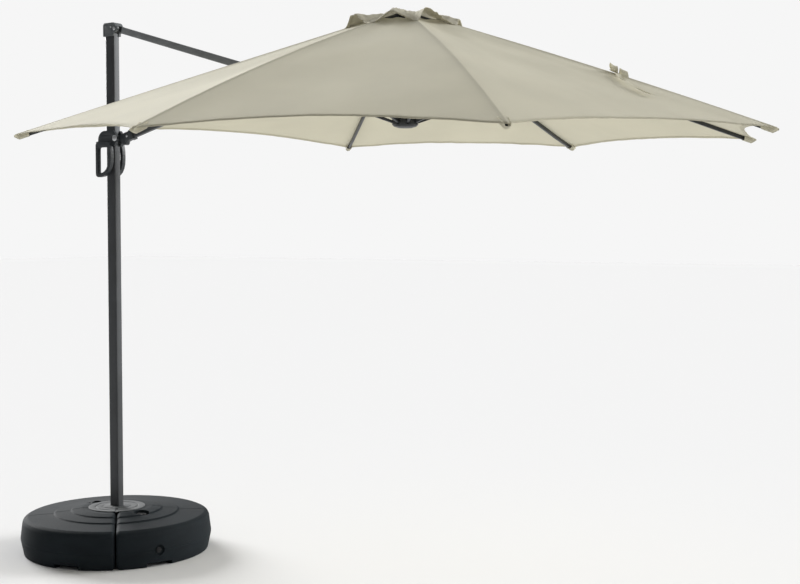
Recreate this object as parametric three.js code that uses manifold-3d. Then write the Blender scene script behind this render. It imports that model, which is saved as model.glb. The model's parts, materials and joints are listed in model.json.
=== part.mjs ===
// Cantilever patio umbrella with a round fillable base.
// Millimetres, +Z up. The origin is on the ground, on the axis of the mast, and +X points from the mast
// to the middle of the canopy.
import * as THREE from 'three';
import { mergeVertices } from 'three/addons/utils/BufferGeometryUtils.js';
import Module from 'manifold-3d';

const wasm = await Module();
wasm.setup();

// ---------------------------------------------------------------- driving dimensions
const GAP = 0.3;
const EIGHTH = Math.PI / 4;
const SEAM_GAP = 1;

const MAST = { deep: 60, wide: 42, wall: 2.5, corner: 6, bottom: 228.6, top: 2696 };
const PIVOT_X = 42;
const HEAD_PIVOT_Z = 2712;
const HEAD_TOP = 2744;
const SLIDER_PIVOT_Z = 2150;
const ROD_SLOPE = 0.295;

const HUB_X = 1824;
const CANOPY_RADIUS = 1665;
const PIVOT_RADIUS = 48;
const HUB_RADIUS = 58;
const HUB_PIVOT_Z = 2615;
const RUNNER_PIVOT_Z = 2149;
const RIB_SLOPE = 0.34;
const STRUT_PIVOT_DROP = 2;
const RIB = { wide: 12, above: 8.5, below: 9.5, eye: 8 };
const FABRIC_ABOVE_RIB = 14;
const FABRIC = 2;
const HEM_CUT = 85;
const VENT_HOLE_RADIUS = 170;
const VENT = { radius: 271, cut: 10, lift: 3.5, arch: 38, crown: 50, shoulder: 10 };
// the canopy leans a little, so each rib's outer part bends down or up by its own amount
const LEAN = { swing: 67, phase: THREE.MathUtils.degToRad(57), start: 500 };
const SADDLE = { swing: 9.4, phase: THREE.MathUtils.degToRad(25), lift: 3.5 };
const ARM_INDEX = 4;
const STRAP = { at: 1000, wide: 28, lift: 9, start: 0.04, slope: 0.34, turn: THREE.MathUtils.degToRad(38) };

const ARM = { tall: 40, wide: 25, wall: 2, drop: 11, start: 60.6 };
const BRACKET_HALF = 18;
const ROD = { tall: 34, wide: 16, wall: 2, eye: 10, neck: 34 };
const PIN_RADIUS = 6;
const PIN_HOLE = 6.3;

const BASE = { radius: 490, foot: 473, top: 222, bore: 100 };
const COVER = { radius: 146, bore: 70.9, top: 226 };
const TURNTABLE = { radius: 70, shaft: 40, flange: 60, top: 228 };

// ---------------------------------------------------------------- the folding linkage
// The tie rod and the arm's lower part are equally long, so the slider's pivot stays on the mast's line.
const rodAngle = Math.atan(ROD_SLOPE);
const rodLength = (HEAD_PIVOT_Z - SLIDER_PIVOT_Z) / 2 / Math.sin(rodAngle);
const midPivot = [PIVOT_X + rodLength * Math.cos(rodAngle), (HEAD_PIVOT_Z + SLIDER_PIVOT_Z) / 2];
const hubPivot = [HUB_X - PIVOT_RADIUS, HUB_PIVOT_Z];
const armSlope = (HUB_PIVOT_Z - SLIDER_PIVOT_Z) / (hubPivot[0] - PIVOT_X);
const armAngle = Math.atan(armSlope);
// Every strut is as long as its pivot is far from the hub's, so ribs and struts turn in a fixed ratio.
const strutPivotZ = (HUB_PIVOT_Z + RUNNER_PIVOT_Z) / 2;
const strutPivotR = PIVOT_RADIUS + (HUB_PIVOT_Z - strutPivotZ - STRUT_PIVOT_DROP) / RIB_SLOPE;
const strutLength = Math.hypot(strutPivotR - PIVOT_RADIUS, strutPivotZ - RUNNER_PIVOT_Z);
const strutAngle = Math.atan2(strutPivotZ - RUNNER_PIVOT_Z, strutPivotR - PIVOT_RADIUS);

// A point [x, z] of the middle plane, seen from the slider's pivot along the arm and above it.
function alongArm([x, z]) {
  const spot = new THREE.Vector2(x - PIVOT_X, z - SLIDER_PIVOT_Z)
    .rotateAround(new THREE.Vector2(0, 0), -armAngle);
  return [spot.x, spot.y];
}

const [midAlong, midAbove] = alongArm(midPivot);
const [strutAlong, strutAbove] = alongArm([HUB_X - strutPivotR, strutPivotZ]);
const [armLength] = alongArm(hubPivot);

// ---------------------------------------------------------------- materials
const finish = (color, roughness, metalness) => (
  new THREE.MeshStandardMaterial({ color, roughness, metalness })
);
const look = {
  fabric: finish(0xbab694, 0.95, 0),
  anthracite: finish(0x34373a, 0.45, 0.4),
  blackPlastic: finish(0x26282a, 0.55, 0),
  greyPlastic: finish(0x50555a, 0.5, 0),
  tank: finish(0x2b2e31, 0.6, 0),
  cover: finish(0x6f7478, 0.5, 0.2),
  steel: finish(0xb9bdc0, 0.3, 0.9),
};

// ---------------------------------------------------------------- solid helpers
function solid(geometry) {
  const bare = geometry.clone();
  bare.deleteAttribute('normal');
  bare.deleteAttribute('uv');
  const merged = mergeVertices(bare, 1e-4);
  return new wasm.Manifold(new wasm.Mesh({
    numProp: 3,
    vertProperties: new Float32Array(merged.attributes.position.array),
    triVerts: new Uint32Array(merged.index.array),
  }));
}

function geometryOf(manifold) {
  const mesh = manifold.getMesh();
  const geometry = new THREE.BufferGeometry();
  geometry.setAttribute('position', new THREE.BufferAttribute(mesh.vertProperties, 3));
  geometry.setIndex(new THREE.BufferAttribute(mesh.triVerts, 1));
  return geometry;
}

const join = (first, ...more) => geometryOf(more.reduce((sum, g) => sum.add(solid(g)), solid(first)));
const cut = (first, ...tools) => geometryOf(tools.reduce((rest, g) => rest.subtract(solid(g)), solid(first)));
const common = (first, second) => geometryOf(solid(first).intersect(solid(second)));

// A box between two corners.
function block(x0, x1, y0, y1, z0, z1) {
  return new THREE.BoxGeometry(x1 - x0, y1 - y0, z1 - z0)
    .translate((x0 + x1) / 2, (y0 + y1) / 2, (z0 + z1) / 2);
}

// A cylinder along Y or Z, centred on a point.
function roundY(radius, length, x, z, y = 0, sides = 12) {
  return new THREE.CylinderGeometry(radius, radius, length, sides).translate(x, y, z);
}

function roundZ(radius, z0, z1, x = 0, y = 0, sides = 20) {
  return new THREE.CylinderGeometry(radius, radius, z1 - z0, sides)
    .rotateX(Math.PI / 2)
    .translate(x, y, (z0 + z1) / 2);
}

// A turned piece about Z, from [radius, height] points.
function turned(profile, sides = 36) {
  const points = profile.map(([r, z]) => new THREE.Vector2(r, z));
  return new THREE.LatheGeometry(points, sides).rotateX(Math.PI / 2);
}

// An outline in the XZ plane, with its thickness along Y.
function plate(shape, wide, y = 0) {
  return new THREE.ExtrudeGeometry(shape, { depth: wide, bevelEnabled: false, curveSegments: 6 })
    .rotateX(Math.PI / 2)
    .translate(0, y + wide / 2, 0);
}

function polygon(points) {
  return new THREE.Shape(points.map(([a, b]) => new THREE.Vector2(a, b)));
}

function roundedRectangle(wide, tall, corner, path = new THREE.Shape()) {
  const x = wide / 2 - corner;
  const y = tall / 2 - corner;
  path.absarc(x, y, corner, 0, Math.PI / 2);
  path.absarc(-x, y, corner, Math.PI / 2, Math.PI);
  path.absarc(-x, -y, corner, Math.PI, Math.PI * 1.5);
  path.absarc(x, -y, corner, Math.PI * 1.5, Math.PI * 2);
  path.closePath();
  return path;
}

// An open rectangular tube along Z.
function boxTube(wide, tall, wall, corner, length) {
  const shape = roundedRectangle(wide, tall, corner);
  shape.holes.push(roundedRectangle(wide - 2 * wall, tall - 2 * wall, corner - wall, new THREE.Path()));
  return new THREE.ExtrudeGeometry(shape, { depth: length, bevelEnabled: false, curveSegments: 3 });
}

function piece(parent, name, geometry, material) {
  const mesh = new THREE.Mesh(geometry, material);
  mesh.name = name;
  parent.add(mesh);
  return mesh;
}

function groupAt(x, y, z) {
  const group = new THREE.Group();
  group.position.set(x, y, z);
  umbrella.add(group);
  return group;
}

const umbrella = new THREE.Group();

// ---------------------------------------------------------------- base
const FILLER = { at: 200, turn: THREE.MathUtils.degToRad(-6), recess: 40, cap: 32, neck: 22, floor: 202 };
const DRAIN = { z: 84, turn: THREE.MathUtils.degToRad(-19), recess: 27, cap: 24, neck: 11, floor: 478 };
const NOTCH = { turns: [-18, 104].map(THREE.MathUtils.degToRad), half: 66, tall: 18 };
const BAR = { half: 25, tall: 8, reach: 440 };

function crossFrame() {
  const bars = [1, -1].map((side) => block(-BAR.reach, BAR.reach, -BAR.half, BAR.half, 0, BAR.tall)
    .rotateZ(side * EIGHTH));
  const socket = roundZ(TURNTABLE.flange, BAR.tall - 1, 150, 0, 0, 32);
  const bore = roundZ(TURNTABLE.shaft + 1, 30, 160, 0, 0, 32);
  const middle = roundZ(90, 0, BAR.tall, 0, 0, 32);
  return cut(join(middle, bars[0], bars[1], socket), bore);
}

// The two tanks' common ring, domed in two steps.
function tankRing() {
  return turned([
    [BASE.bore, 12], [430, 12], [434, 0], [BASE.foot, 0], [BASE.radius, 80], [BASE.radius, 88],
    [480, 166], [472, 182], [454, 191], [322, 198], [316, 204], [236, 210], [230, 216],
    [180, BASE.top], [BASE.bore, BASE.top], [BASE.bore, 12],
  ]);
}

function polar(radius, angle, z = 0) {
  return [radius * Math.cos(angle), radius * Math.sin(angle), z];
}

function fillerPosition(azimuth) {
  return polar(FILLER.at, azimuth + FILLER.turn);
}

// A radial cylinder for a drain plug, from radius r0 to r1.
function drainCylinder(azimuth, radius, r0, r1) {
  return new THREE.CylinderGeometry(radius, radius, r1 - r0, 16)
    .rotateZ(Math.PI / 2)
    .translate((r0 + r1) / 2, 0, DRAIN.z)
    .rotateZ(azimuth + DRAIN.turn);
}

// Half of the ring, with its filler, its drain and two lifting notches. Its front seam lies at 45 degrees
// before its azimuth.
function tank(ring, azimuth) {
  const reach = 800;
  const half = block(-reach, reach, SEAM_GAP / 2, reach, -10, 300).rotateZ(azimuth - EIGHTH);
  const [fx, fy] = fillerPosition(azimuth);
  const bars = [1, -1].map((side) => (
    block(-500, 500, -BAR.half - 3, BAR.half + 3, -1, BAR.tall + 5).rotateZ(side * EIGHTH)
  ));
  const notches = NOTCH.turns.map((turn) => (
    block(430, 520, -NOTCH.half, NOTCH.half, -1, NOTCH.tall).rotateZ(azimuth + turn)
  ));
  return cut(
    common(ring, half),
    ...bars,
    ...notches,
    roundZ(FILLER.recess, FILLER.floor, 250, fx, fy),
    roundZ(FILLER.neck + 0.5, 170, FILLER.floor + 10, fx, fy),
    drainCylinder(azimuth, DRAIN.recess, DRAIN.floor, 520),
    drainCylinder(azimuth, DRAIN.neck + 0.5, 440, 500),
  );
}

function fillerCap(azimuth) {
  const [x, y] = fillerPosition(azimuth);
  return join(
    roundZ(FILLER.cap, FILLER.floor + GAP, FILLER.floor + 12, x, y),
    roundZ(FILLER.neck, 172, FILLER.floor + 5, x, y, 16),
    block(-26, 26, -5, 5, FILLER.floor + 10, FILLER.floor + 17).rotateZ(azimuth + 1).translate(x, y, 0),
  );
}

function drainPlug(azimuth) {
  return join(
    drainCylinder(azimuth, DRAIN.cap, DRAIN.floor + GAP, DRAIN.floor + 9),
    drainCylinder(azimuth, DRAIN.neck, 442, DRAIN.floor + 4),
  );
}

function baseCover() {
  return turned([
    [72, 205], [BASE.bore - 0.5, 205], [BASE.bore - 0.5, BASE.top + GAP], [COVER.radius, BASE.top + GAP],
    [COVER.radius, COVER.top - 2], [COVER.radius - 2, COVER.top], [COVER.bore, COVER.top], [COVER.bore, 205],
    [72, 205],
  ]);
}

function turntable() {
  const section = roundedRectangle(MAST.deep - 2 * MAST.wall - 1, MAST.wide - 2 * MAST.wall - 1, 4);
  const spigot = new THREE.ExtrudeGeometry(section, { depth: 200, bevelEnabled: false, curveSegments: 3 })
    .translate(0, 0, TURNTABLE.top - 8);
  return join(turned([
    [0, 31], [TURNTABLE.shaft, 31], [TURNTABLE.shaft, 150.6], [TURNTABLE.flange, 150.6],
    [TURNTABLE.flange, 204], [TURNTABLE.radius, 204], [TURNTABLE.radius, TURNTABLE.top], [0, TURNTABLE.top],
  ]), spigot);
}

function addBase() {
  const ring = tankRing();
  piece(umbrella, 'cross_frame', crossFrame(), look.anthracite);
  for (let i = 0; i < 2; i += 1) {
    const azimuth = i * Math.PI;
    piece(umbrella, `tank_${i + 1}`, tank(ring, azimuth), look.tank);
    piece(umbrella, `filler_cap_${i + 1}`, fillerCap(azimuth), look.blackPlastic);
    piece(umbrella, `drain_plug_${i + 1}`, drainPlug(azimuth), look.blackPlastic);
  }
  piece(umbrella, 'base_cover', baseCover(), look.cover);
}

// ---------------------------------------------------------------- mast and its head
function headOutline() {
  const shape = new THREE.Shape();
  shape.moveTo(34, 2676);
  shape.lineTo(34, 2690);
  shape.lineTo(52, 2698);
  shape.absarc(50, HEAD_PIVOT_Z, 14, -Math.PI / 2, Math.PI / 2);
  shape.lineTo(44, 2738);
  shape.lineTo(34, HEAD_TOP);
  shape.absarc(-24, HEAD_TOP - 14, 14, Math.PI / 2, Math.PI);
  shape.lineTo(-38, 2676);
  return shape;
}

function mastHead() {
  return cut(
    plate(headOutline(), 56),
    block(-30.5, 30.5, -21.5, 21.5, 2670, MAST.top + GAP),
    block(30.4, 80, -13.3, 13.3, 2670, 2724.5),
    roundY(PIN_HOLE, 80, PIVOT_X, HEAD_PIVOT_Z),
  );
}

// A pin along Y with a round head at each end.
function headedPin(halfSpan, headRadius, headThick) {
  const end = halfSpan + headThick;
  return new THREE.LatheGeometry([
    [0, -end], [headRadius, -end], [headRadius, -halfSpan], [PIN_RADIUS, -halfSpan],
    [PIN_RADIUS, halfSpan], [headRadius, halfSpan], [headRadius, end], [0, end],
  ].map(([r, y]) => new THREE.Vector2(r, y)), 16);
}

function addMast() {
  piece(umbrella, 'turntable', turntable(), look.cover);
  const tube = boxTube(MAST.deep, MAST.wide, MAST.wall, MAST.corner, MAST.top - MAST.bottom);
  piece(umbrella, 'mast', tube, look.anthracite).position.z = MAST.bottom;
  piece(umbrella, 'mast_head', mastHead(), look.greyPlastic);
  piece(groupAt(PIVOT_X, 0, HEAD_PIVOT_Z), 'head_pin', headedPin(28 + GAP, 9, 2.5), look.steel);
}

// ---------------------------------------------------------------- tie rod
// An end fitting: an eye at the origin, a neck, and a shank inside the tube, all along +X.
function rodEnd() {
  const eye = roundY(ROD.eye, 24, 0, 0, 0, 16);
  const neck = block(0, ROD.neck, -8, 8, -ROD.eye, ROD.eye);
  const shank = block(ROD.neck - 1, ROD.neck + 36, -5.2, 5.2, -9.2, 9.2);
  return cut(join(eye, neck, shank), roundY(PIN_HOLE, 40, 0, 0));
}

function addTieRod() {
  const rod = groupAt(PIVOT_X, 0, HEAD_PIVOT_Z);
  rod.rotation.y = rodAngle;
  const start = ROD.neck + GAP;
  const tube = boxTube(ROD.tall, ROD.wide, ROD.wall, 4, rodLength - 2 * start).rotateY(Math.PI / 2);
  piece(rod, 'tie_rod', tube, look.anthracite).position.x = start;
  piece(rod, 'tie_rod_upper_end', rodEnd(), look.blackPlastic);
  piece(rod, 'tie_rod_lower_end', rodEnd().rotateZ(Math.PI), look.blackPlastic).position.x = rodLength;
}

// ---------------------------------------------------------------- arm
// Along the arm's group, X runs from the slider's pivot to the hub's, and Z stands off the arm.
const armTop = ARM.tall / 2 - ARM.drop;
const armBottom = -ARM.tall / 2 - ARM.drop;

// The space that a fitting leaves for the arm's tube.
function armBore(x0, x1) {
  const half = ARM.wide / 2 + GAP;
  return block(x0, x1, -half, half, armBottom - 0.4, armTop + 0.4);
}

// The fitting at the arm's lower end: an eye, a throat with a round lobe below, and a collar round the tube.
function armRoot() {
  const throatHalf = 14.5;
  const throat = plate(polygon([
    [-4, 10], [4, 11], [60, armTop + 2], [90, armTop + 2], [90, armBottom - 2], [44, armBottom - 6],
    [26, armBottom - 2], [8, -14], [-4, -10],
  ]), ARM.wide);
  const sleeve = block(54, 90, -throatHalf, throatHalf, armBottom - 2, armTop + 2);
  const lobe = roundY(15, ARM.wide, 44, armBottom - 3, 0, 24);
  const eye = roundY(11, ARM.wide, 0, 0, 0, 20);
  const collar = block(88, 112, -17, 17, armBottom - 5, armTop + 5);
  const body = join(throat, sleeve, lobe, eye, collar);
  return cut(body, armBore(ARM.start - GAP, 130), roundY(PIN_HOLE, 40, 0, 0));
}

// The bracket at the tie rod's lower end also carries the arm's own strut, on a lug below.
function armBracket() {
  const low = armBottom - 5;
  const high = armTop + 5;
  const shape = polygon([
    [midAlong - 35, low], [strutAlong - 20, low], [strutAlong - 9, strutAbove - 8],
    [strutAlong + 9, strutAbove - 8], [strutAlong + 18, low], [strutAlong + 18, high],
    [midAlong + 34, high], [midAlong + 14, midAbove + 8], [midAlong + 6, midAbove + 13],
    [midAlong - 6, midAbove + 13], [midAlong - 14, midAbove + 8], [midAlong - 35, high],
  ]);
  return cut(
    plate(shape, 2 * BRACKET_HALF),
    armBore(midAlong - 60, strutAlong + 60),
    block(midAlong - 60, midAlong + 36, -12.4, 12.4, armTop, 90),
    roundY(PIN_HOLE, 60, midAlong, midAbove),
    roundY(3.4, 60, strutAlong, strutAbove),
  );
}

// The arm's tip fits the hub's slot like a rib's eye; its shank sits inside the tube.
function armTip() {
  const x = armLength;
  const neck = plate(polygon([[x, 8], [x - 44, armTop - 0.5], [x - 44, armBottom + 0.5], [x, -8]]), RIB.wide);
  const shank = block(x - 100, x - 43, -9.2, 9.2, armBottom + 3.2, armTop - 3.2);
  return cut(join(neck, roundY(RIB.eye, RIB.wide, x, 0), shank), roundY(2.9, 40, x, 0));
}

function armTube() {
  return boxTube(ARM.tall, ARM.wide, ARM.wall, 5, armLength - 44 - GAP - ARM.start)
    .rotateY(Math.PI / 2)
    .translate(ARM.start, 0, -ARM.drop);
}

function addArm() {
  const arm = groupAt(PIVOT_X, 0, SLIDER_PIVOT_Z);
  arm.rotation.y = -armAngle;
  piece(arm, 'arm', armTube(), look.anthracite);
  piece(arm, 'arm_root', armRoot(), look.blackPlastic);
  piece(arm, 'arm_bracket', armBracket(), look.blackPlastic);
  const pin = headedPin(BRACKET_HALF + GAP, 9, 2.5);
  piece(arm, 'mid_pin', pin, look.steel).position.set(midAlong, 0, midAbove);
  piece(arm, 'arm_tip', armTip(), look.blackPlastic);
}

// ---------------------------------------------------------------- slider, grips and lever
const SLIDER = { bottom: 2110, top: 2190, rear: -80, half: 31, hump: 47 };
const GRIP = { rear: -76, front: 34, bar: 16, wide: 22 };
const LEVER = { x: -58, z: 2134 };

function sliderHousing() {
  const shape = new THREE.Shape();
  shape.moveTo(SLIDER.rear + 6, SLIDER.bottom);
  shape.lineTo(36, SLIDER.bottom);
  shape.lineTo(52, 2132);
  shape.absarc(PIVOT_X, SLIDER_PIVOT_Z, 15, -0.9, 0.9);
  shape.lineTo(34, SLIDER.top - 4);
  shape.lineTo(28, SLIDER.top);
  shape.absarc(SLIDER.rear + SLIDER.hump, SLIDER.top - SLIDER.hump, SLIDER.hump, Math.PI / 2, Math.PI);
  shape.lineTo(SLIDER.rear, SLIDER.bottom + 6);
  return cut(
    plate(shape, 2 * SLIDER.half),
    block(-30.6, 30.6, -21.6, 21.6, 2100, 2200),
    block(30, 80, -13.3, 13.3, 2100, 2200),
    block(-90, -46, -13.5, 13.5, 2120, 2150),
    roundY(PIN_HOLE, 80, PIVOT_X, SLIDER_PIVOT_Z),
    roundY(3.4, 42, LEVER.x, LEVER.z),
  );
}

// A D-shaped loop: straight at the rear, bowed at the front.
function gripOutline() {
  const shape = new THREE.Shape();
  shape.moveTo(GRIP.rear, 2112);
  shape.lineTo(GRIP.rear, 1972);
  shape.quadraticCurveTo(GRIP.rear, 1950, GRIP.rear + 22, 1950);
  shape.bezierCurveTo(10, 1950, GRIP.front, 1990, GRIP.front, 2050);
  shape.bezierCurveTo(GRIP.front, 2090, 30, 2112, 22, 2130);
  shape.lineTo(GRIP.rear + 14, 2130);
  shape.quadraticCurveTo(GRIP.rear, 2128, GRIP.rear, 2112);
  const inner = GRIP.rear + GRIP.bar;
  const hole = new THREE.Path();
  hole.moveTo(inner, 2092);
  hole.bezierCurveTo(inner, 2100, inner + 4, 2104, inner + 12, 2104);
  hole.lineTo(6, 2104);
  hole.bezierCurveTo(16, 2084, 18, 2066, 17, 2048);
  hole.bezierCurveTo(14, 2000, -4, 1970, inner + 10, 1970);
  hole.quadraticCurveTo(inner, 1970, inner, 1982);
  shape.holes.push(hole);
  return shape;
}

function releaseLever() {
  const tab = plate(polygon([
    [LEVER.x, 2141], [LEVER.x - 56, 2138], [LEVER.x - 60, 2132], [LEVER.x - 56, 2129], [LEVER.x, 2127],
  ]), 24);
  return join(tab, roundY(7, 24, LEVER.x, LEVER.z), roundY(3, 40, LEVER.x, LEVER.z));
}

function addSlider() {
  const gripY = SLIDER.half + GAP + GRIP.wide / 2;
  piece(umbrella, 'slider_housing', sliderHousing(), look.greyPlastic);
  const pin = headedPin(SLIDER.half + GAP, 16, 3);
  piece(groupAt(PIVOT_X, 0, SLIDER_PIVOT_Z), 'slider_pin', pin, look.steel);
  piece(umbrella, 'handle_left', plate(gripOutline(), GRIP.wide, gripY), look.blackPlastic);
  piece(umbrella, 'handle_right', plate(gripOutline(), GRIP.wide, -gripY), look.blackPlastic);
  piece(umbrella, 'release_lever', releaseLever(), look.blackPlastic);
}

// ---------------------------------------------------------------- hub and runner
// A wire octagon whose straight sides are the pivots of the eight ribs or struts.
function pinRing(wire, z) {
  const corner = PIVOT_RADIUS / Math.cos(EIGHTH / 2);
  const section = [];
  for (let i = 0; i <= 8; i += 1) {
    const turn = (i % 8) * EIGHTH;
    section.push(new THREE.Vector2(corner + wire * Math.cos(turn), wire * Math.sin(turn)));
  }
  return new THREE.LatheGeometry(section, 8, EIGHTH / 2)
    .rotateX(Math.PI / 2)
    .translate(0, 0, z);
}

// A round body with eight slots that are open outwards.
function slottedRound(profile, z0, z1, pivotZ) {
  const slots = [];
  for (let i = 0; i < 8; i += 1) {
    slots.push(block(34, 90, -6.5, 6.5, z0, z1).rotateZ(i * EIGHTH));
  }
  return cut(turned(profile, 24), ...slots, pinRing(2.9, pivotZ));
}

function addHub() {
  const hub = groupAt(HUB_X, 0, 0);
  const top = HUB_PIVOT_Z + 7.5;
  const bottom = HUB_PIVOT_Z - 20;
  const body = slottedRound([
    [0, bottom], [HUB_RADIUS - 6, bottom], [HUB_RADIUS, bottom + 6], [HUB_RADIUS, top - 6],
    [HUB_RADIUS - 6, top], [16, top + 4], [0, top + 4],
  ], bottom - 10, top + 20, HUB_PIVOT_Z);
  piece(hub, 'top_hub', body, look.blackPlastic);
  piece(hub, 'hub_pin_ring', pinRing(2.5, HUB_PIVOT_Z), look.steel);
}

function addRunner() {
  const runner = groupAt(HUB_X, 0, 0);
  const bottom = RUNNER_PIVOT_Z - 23;
  const top = RUNNER_PIVOT_Z + 22;
  const body = slottedRound([
    [0, bottom], [30, bottom], [50, bottom + 6], [HUB_RADIUS, bottom + 14], [HUB_RADIUS, top - 4],
    [HUB_RADIUS - 4, top], [0, top],
  ], RUNNER_PIVOT_Z - 9, top + 20, RUNNER_PIVOT_Z);
  piece(runner, 'runner', body, look.blackPlastic);
  piece(runner, 'runner_pin_ring', pinRing(2.5, RUNNER_PIVOT_Z), look.steel);
}

// ---------------------------------------------------------------- ribs and struts
// How far a rib's tip hangs below the straight line of its inner half.
function tipDroop(index) {
  const saddle = SADDLE.swing * Math.cos(2 * index * EIGHTH - SADDLE.phase) + SADDLE.lift;
  return LEAN.swing * Math.cos(index * EIGHTH + LEAN.phase) - saddle;
}

// The middle height of a rib, or of the arm's line in place of the eighth rib.
function ribHeight(index, radius) {
  if (index === ARM_INDEX) {
    return HUB_PIVOT_Z - armSlope * (radius - PIVOT_RADIUS);
  }
  const outer = Math.max(0, (radius - LEAN.start) / (CANOPY_RADIUS - LEAN.start));
  return HUB_PIVOT_Z - RIB_SLOPE * (radius - PIVOT_RADIUS) - tipDroop(index) * outer * outer;
}

function rib(index) {
  const stations = [PIVOT_RADIUS, LEAN.start];
  const bends = 6;
  for (let i = 1; i <= bends; i += 1) {
    stations.push(LEAN.start + (CANOPY_RADIUS - 20 - LEAN.start) * i / bends);
  }
  const upper = stations.map((r) => [r, ribHeight(index, r) + RIB.above]);
  const lower = stations.map((r) => [r, ribHeight(index, r) - RIB.below]);
  upper[0][1] = HUB_PIVOT_Z + RIB.eye;
  lower[0][1] = HUB_PIVOT_Z - RIB.eye;
  return cut(
    join(plate(polygon([...lower, ...upper.reverse()]), RIB.wide),
      roundY(RIB.eye, RIB.wide, PIVOT_RADIUS, HUB_PIVOT_Z)),
    roundY(2.9, 40, PIVOT_RADIUS, HUB_PIVOT_Z),
    roundY(3.4, 40, strutPivotR, strutPivotZ),
  );
}

// A strut lies along +X from its runner eye at the origin to its fork. The fork straddles a rib or the arm.
function strut(forkHalf, forkDepth) {
  const outer = forkHalf + 3.5;
  const bar = block(0, strutLength - forkDepth + 5, -RIB.wide / 2, RIB.wide / 2, -6, 6);
  const fork = block(strutLength - forkDepth - 12, strutLength, -outer, outer, -6, 6);
  const ends = [
    roundY(RIB.eye, RIB.wide, 0, 0),
    roundY(7, 2 * outer, strutLength, 0),
  ];
  const gap = block(strutLength - forkDepth, strutLength + 20, -forkHalf, forkHalf, -20, 20);
  const open = cut(join(bar, fork, ...ends), gap, roundY(2.9, 40, 0, 0));
  return join(open, roundY(3, 2 * outer, strutLength, 0));
}

function addRibsAndStruts() {
  for (let i = 0; i < 8; i += 1) {
    const spoke = groupAt(HUB_X, 0, 0);
    spoke.rotation.z = i * EIGHTH;
    if (i !== ARM_INDEX) {
      piece(spoke, `rib_${i + 1}`, rib(i), look.anthracite);
    }
    const onArm = i === ARM_INDEX;
    const bar = strut(onArm ? BRACKET_HALF + 0.8 : RIB.wide / 2 + 0.8, 74);
    const mesh = piece(spoke, `strut_${i + 1}`, bar, look.anthracite);
    mesh.position.set(PIVOT_RADIUS, 0, RUNNER_PIVOT_Z);
    mesh.rotation.y = -strutAngle;
  }
}

// ---------------------------------------------------------------- canopy
function fabricOnRib(index, radius) {
  const [x, y] = polar(radius, index * EIGHTH);
  return new THREE.Vector3(x, y, ribHeight(index, radius) + FABRIC_ABOVE_RIB);
}

// A point of the canopy's upper side. span runs from -0.5 to 0.5 across panel index, and reach from 0 to 1
// outwards; the hem is cut inwards between the ribs.
function canopyPoint(index, span, reach) {
  const side = Math.abs(span);
  const neighbour = span < 0 ? index + 7 : index + 1;
  const hem = CANOPY_RADIUS - HEM_CUT * 4 * side * (1 - side);
  const radius = VENT_HOLE_RADIUS + reach * (hem - VENT_HOLE_RADIUS);
  return fabricOnRib(index, radius).lerp(fabricOnRib(neighbour % 8, radius), side);
}

// A closed skin of even thickness under a grid of points, rows by columns.
function skin(rows, thickness) {
  const columns = rows[0].length;
  const upper = rows.flat();
  const corners = [...upper, ...upper.map((p) => p.clone().setZ(p.z - thickness))];
  const below = upper.length;
  const faces = [];
  const at = (row, column) => row * columns + column;
  const quad = (a, b, c, d) => faces.push(a, b, c, a, c, d);
  for (let r = 0; r + 1 < rows.length; r += 1) {
    for (let c = 0; c + 1 < columns; c += 1) {
      quad(at(r, c), at(r + 1, c), at(r + 1, c + 1), at(r, c + 1));
      quad(below + at(r, c), below + at(r, c + 1), below + at(r + 1, c + 1), below + at(r + 1, c));
    }
  }
  const edge = (a, b) => quad(a, b, below + b, below + a);
  for (let r = 0; r + 1 < rows.length; r += 1) {
    edge(at(r + 1, 0), at(r, 0));
    edge(at(r, columns - 1), at(r + 1, columns - 1));
  }
  for (let c = 0; c + 1 < columns; c += 1) {
    edge(at(0, c), at(0, c + 1));
    edge(at(rows.length - 1, c + 1), at(rows.length - 1, c));
  }
  const geometry = new THREE.BufferGeometry().setFromPoints(corners);
  geometry.setIndex(faces);
  return flipInwards(geometry);
}

// Turns a closed mesh inside out when its faces point inwards.
function flipInwards(geometry) {
  const place = geometry.attributes.position;
  const index = geometry.index.array;
  const corner = (i) => new THREE.Vector3().fromBufferAttribute(place, index[i]);
  let volume = 0;
  for (let i = 0; i < index.length; i += 3) {
    volume += corner(i).dot(corner(i + 1).cross(corner(i + 2)));
  }
  if (volume < 0) {
    geometry.setIndex([...index].reverse());
  }
  return geometry;
}

// One kite of fabric, centred on a rib and ending halfway to the next rib on each side.
function panel(index) {
  const rows = [];
  const reaches = 8;
  for (let r = 0; r <= reaches; r += 1) {
    rows.push([-0.5, -0.25, 0, 0.25, 0.5].map((span) => {
      const point = canopyPoint(index, span, r / reaches);
      const border = (index + Math.sign(span) / 2) * EIGHTH;
      const inwards = Math.abs(span) === 0.5 ? -Math.sign(span) * GAP / 2 : 0;
      point.x -= inwards * Math.sin(border);
      point.y += inwards * Math.cos(border);
      return point;
    }));
  }
  return skin(rows, FABRIC);
}

// The opening in the panel over the arm, where the tie rod's lower end comes through.
function rodSlot() {
  const x = midPivot[0] - HUB_X;
  return block(x - 110, x + 124, -32, 32, 2300, 2600);
}

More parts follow.
